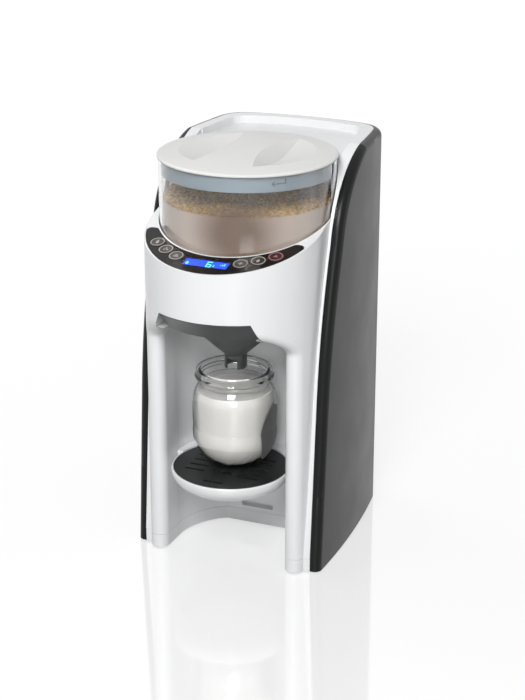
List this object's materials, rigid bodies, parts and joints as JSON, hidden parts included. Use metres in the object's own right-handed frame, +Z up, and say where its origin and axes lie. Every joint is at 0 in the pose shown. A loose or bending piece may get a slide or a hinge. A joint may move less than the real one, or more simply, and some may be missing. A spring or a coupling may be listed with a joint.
{
  "type": "baby formula maker",
  "caption": "Countertop machine with a round powder container, tilted control panel, funnel drawer, bottle bay with hook-in tray and a rear water tank.",
  "frame": {"origin": "on the surface that the machine stands on, below the middle of its bounding box", "axes": "+Z up, +X to the right as a user sees the machine, -Y towards its front"},
  "size_m": [0.2026, 0.284, 0.4155],
  "materials": {
    "white_shell": "gloss",
    "white_lid": "satin",
    "dark_panel": "gloss",
    "control_gloss": "gloss",
    "button_dark": "gloss",
    "display_clear": "polished",
    "display_blue": "gloss",
    "clear_tub": "polished",
    "frosted_collar": "satin",
    "funnel_dark": "satin",
    "grid_dark": "satin",
    "grip_dark": "matte",
    "bottle_clear": "polished",
    "formula_milk": "satin",
    "formula_powder": "matte",
    "tank_smoked": "polished",
    "grey_inner": "satin",
    "gear_nylon": "satin",
    "circuit_board": "satin",
    "motor_steel": "satin",
    "bracket_steel": "satin",
    "heater_steel": "satin",
    "bush_brass": "satin",
    "hose_silicone": "satin",
    "seal_rubber": "matte",
    "foot_rubber": "matte",
    "inlet_black": "satin"
  },
  "bodies": {
    "housing": {"front_shell": "white_shell", "bay_liner": "white_shell", "slot_plate": "white_shell", "well_plate": "white_shell", "base_plinth": "white_shell", "left_side_panel": "dark_panel", "right_side_panel": "dark_panel", "rear_cover": "dark_panel", "rear_frame": "grey_inner", "rubber_feet": "foot_rubber", "control_panel": "control_gloss", "display_window": "display_clear", "display_module": "display_blue", "control_board": "circuit_board", "drive_bush": "bush_brass", "gear_motor": "motor_steel", "motor_bracket": "bracket_steel", "bracket_screws": "bracket_steel", "idler_pin": "bracket_steel", "left_drawer_runner": "grey_inner", "right_drawer_runner": "grey_inner", "water_heater": "heater_steel", "water_pump": "grey_inner", "inlet_hose": "hose_silicone", "pump_hose": "hose_silicone", "nozzle_hose": "hose_silicone", "water_nozzle": "grey_inner", "valve_seat": "grey_inner", "valve_seal": "seal_rubber", "power_board": "circuit_board", "mains_inlet": "inlet_black"},
    "container": {"container_tub": "clear_tub", "container_base": "white_shell", "powder": "formula_powder"},
    "doser": {"portion_wheel": "gear_nylon", "agitator": "gear_nylon"},
    "lock_ring": {"lid_collar": "frosted_collar"},
    "lid": {"container_lid": "white_lid", "lid_gasket": "seal_rubber"},
    "drive": {"drive_gear": "gear_nylon"},
    "idler": {"idler_gear": "gear_nylon"},
    "pinion": {"motor_pinion": "gear_nylon", "motor_shaft": "bracket_steel"},
    "drawer": {"drawer_front": "funnel_dark", "mixing_funnel": "funnel_dark"},
    "tray": {"drip_tray": "white_shell", "drip_grid": "grid_dark"},
    "bottle": {"bottle_shell": "bottle_clear", "bottle_milk": "formula_milk", "bottle_grip_left": "grip_dark", "bottle_grip_right": "grip_dark"},
    "tank": {"tank_shell": "tank_smoked", "tank_valve": "grey_inner"},
    "deck": {"tank_lid": "white_shell"},
    "button_1": {"button_1": "button_dark"},
    "button_2": {"button_2": "button_dark"},
    "button_3": {"button_3": "button_dark"},
    "button_4": {"button_4": "button_dark"},
    "button_5": {"button_5": "button_dark"},
    "button_6": {"button_6": "button_dark"}
  },
  "joints": [
    {"name": "container_lift", "type": "slide", "parent": "housing", "child": "container", "axis": [0, 0, 1], "range_m": [0, 0.12]},
    {"name": "doser_spin", "type": "hinge", "parent": "container", "child": "doser", "pos_m": [0, -0.023, 0.3], "axis": [0, 0, 1], "continuous": true},
    {"name": "lock_ring_turn", "type": "hinge", "parent": "container", "child": "lock_ring", "pos_m": [0, -0.023, 0.398], "axis": [0, 0, 1], "range_deg": [0, 25]},
    {"name": "lid_lift", "type": "slide", "parent": "lock_ring", "child": "lid", "axis": [0, 0, 1], "range_m": [0, 0.06]},
    {"name": "drive_spin", "type": "hinge", "parent": "housing", "child": "drive", "pos_m": [0, -0.023, 0.28], "axis": [0, 0, 1], "continuous": true},
    {"name": "idler_spin", "type": "hinge", "parent": "housing", "child": "idler", "pos_m": [0, 0.01312, 0.28], "axis": [0, 0, 1], "continuous": true},
    {"name": "pinion_spin", "type": "hinge", "parent": "housing", "child": "pinion", "pos_m": [0, 0.04024, 0.28], "axis": [0, 0, 1], "continuous": true},
    {"name": "drawer_slide", "type": "slide", "parent": "housing", "child": "drawer", "axis": [0, -1, 0], "range_m": [0, 0.105]},
    {"name": "tray_slide", "type": "slide", "parent": "housing", "child": "tray", "axis": [0, -1, 0], "range_m": [0, 0.12]},
    {"name": "bottle_slide", "type": "slide", "parent": "tray", "child": "bottle", "axis": [0, -1, 0], "range_m": [0, 0.13]},
    {"name": "tank_lift", "type": "slide", "parent": "housing", "child": "tank", "axis": [0, 0, 1], "range_m": [0, 0.26]},
    {"name": "tank_lid_lift", "type": "slide", "parent": "tank", "child": "deck", "axis": [0, 0, 1], "range_m": [0, 0.06]},
    {"name": "button_1_press", "type": "slide", "parent": "housing", "child": "button_1", "axis": [0, 0.2696, -0.963], "range_m": [0, 0.001], "stiffness_N_per_m": 300},
    {"name": "button_2_press", "type": "slide", "parent": "housing", "child": "button_2", "axis": [0, 0.2696, -0.963], "range_m": [0, 0.001], "stiffness_N_per_m": 300},
    {"name": "button_3_press", "type": "slide", "parent": "housing", "child": "button_3", "axis": [0, 0.2696, -0.963], "range_m": [0, 0.001], "stiffness_N_per_m": 300},
    {"name": "button_4_press", "type": "slide", "parent": "housing", "child": "button_4", "axis": [0, 0.2696, -0.963], "range_m": [0, 0.001], "stiffness_N_per_m": 300},
    {"name": "button_5_press", "type": "slide", "parent": "housing", "child": "button_5", "axis": [0, 0.2696, -0.963], "range_m": [0, 0.001], "stiffness_N_per_m": 300},
    {"name": "button_6_press", "type": "slide", "parent": "housing", "child": "button_6", "axis": [0, 0.2696, -0.963], "range_m": [0, 0.001], "stiffness_N_per_m": 300}
  ],
  "couplings": [
    {"joint": "doser_spin", "follows": "drive_spin", "ratio": 1},
    {"joint": "idler_spin", "follows": "drive_spin", "ratio": -1.1818},
    {"joint": "pinion_spin", "follows": "drive_spin", "ratio": 1.8571}
  ]
}
